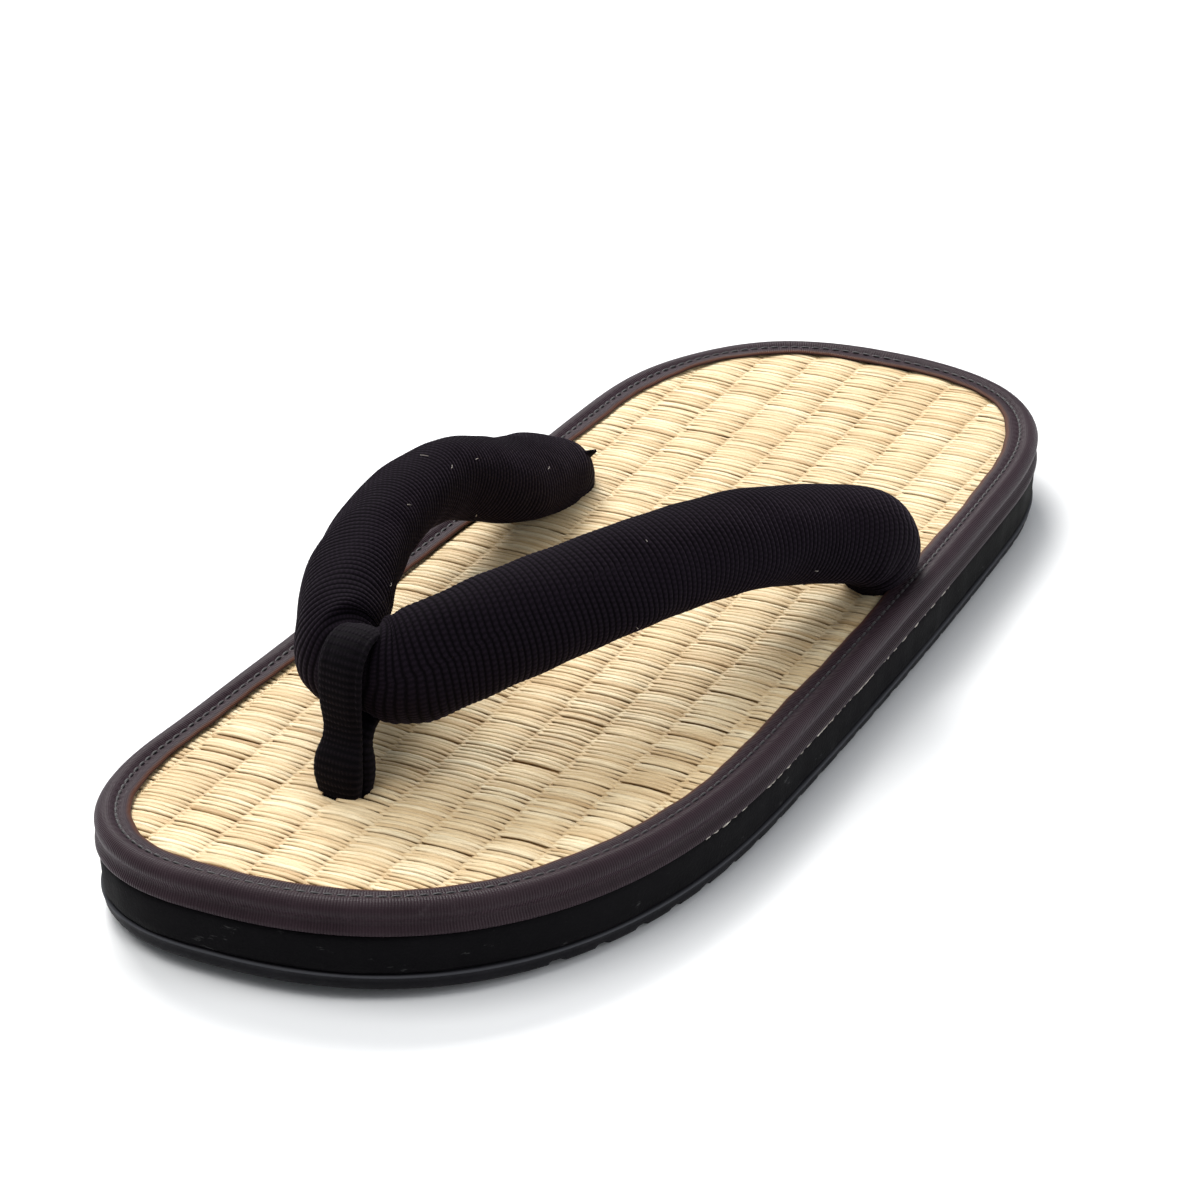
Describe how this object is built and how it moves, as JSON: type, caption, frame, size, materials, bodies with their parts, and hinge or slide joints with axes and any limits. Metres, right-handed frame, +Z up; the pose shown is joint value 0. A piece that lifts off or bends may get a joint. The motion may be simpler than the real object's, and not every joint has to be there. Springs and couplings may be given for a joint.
{
  "type": "zori sandal",
  "caption": "Flat thong sandal: rush mat top, woven edge tape, foam midsole, grooved rubber outsole, padded cloth straps held by a toe loop.",
  "frame": {"origin": "centre of the bounding box at the floor", "axes": "+Y from toe to heel, +Z up, +X across the sole to its more curved side"},
  "size_m": [0.0972, 0.248, 0.0494],
  "materials": {
    "outsole_rubber": "dark grey moulded rubber, matt, with cut tread grooves",
    "midsole_foam": "black cut foam, fine grain, faint scuffs and a little dried glue along the top seam",
    "insole_board": "plain board under the mat, hidden",
    "rush": "woven pale straw rush, slight sheen on the strands, darker gaps at the warps",
    "edge_tape": "dark brown-purple ribbed tape with a soft satin sheen, lockstitched in matching thread",
    "strap_cloth": "black ribbed cotton weave over padding, matt, a little lint",
    "loop_cloth": "black ribbed cotton tape, folded, matt"
  },
  "bodies": {
    "root": {"outsole": "outsole_rubber", "midsole": "midsole_foam", "insole": "insole_board", "mat": "rush", "binding": "edge_tape", "strap": "strap_cloth", "toe_loop": "loop_cloth"}
  },
  "joints": []
}
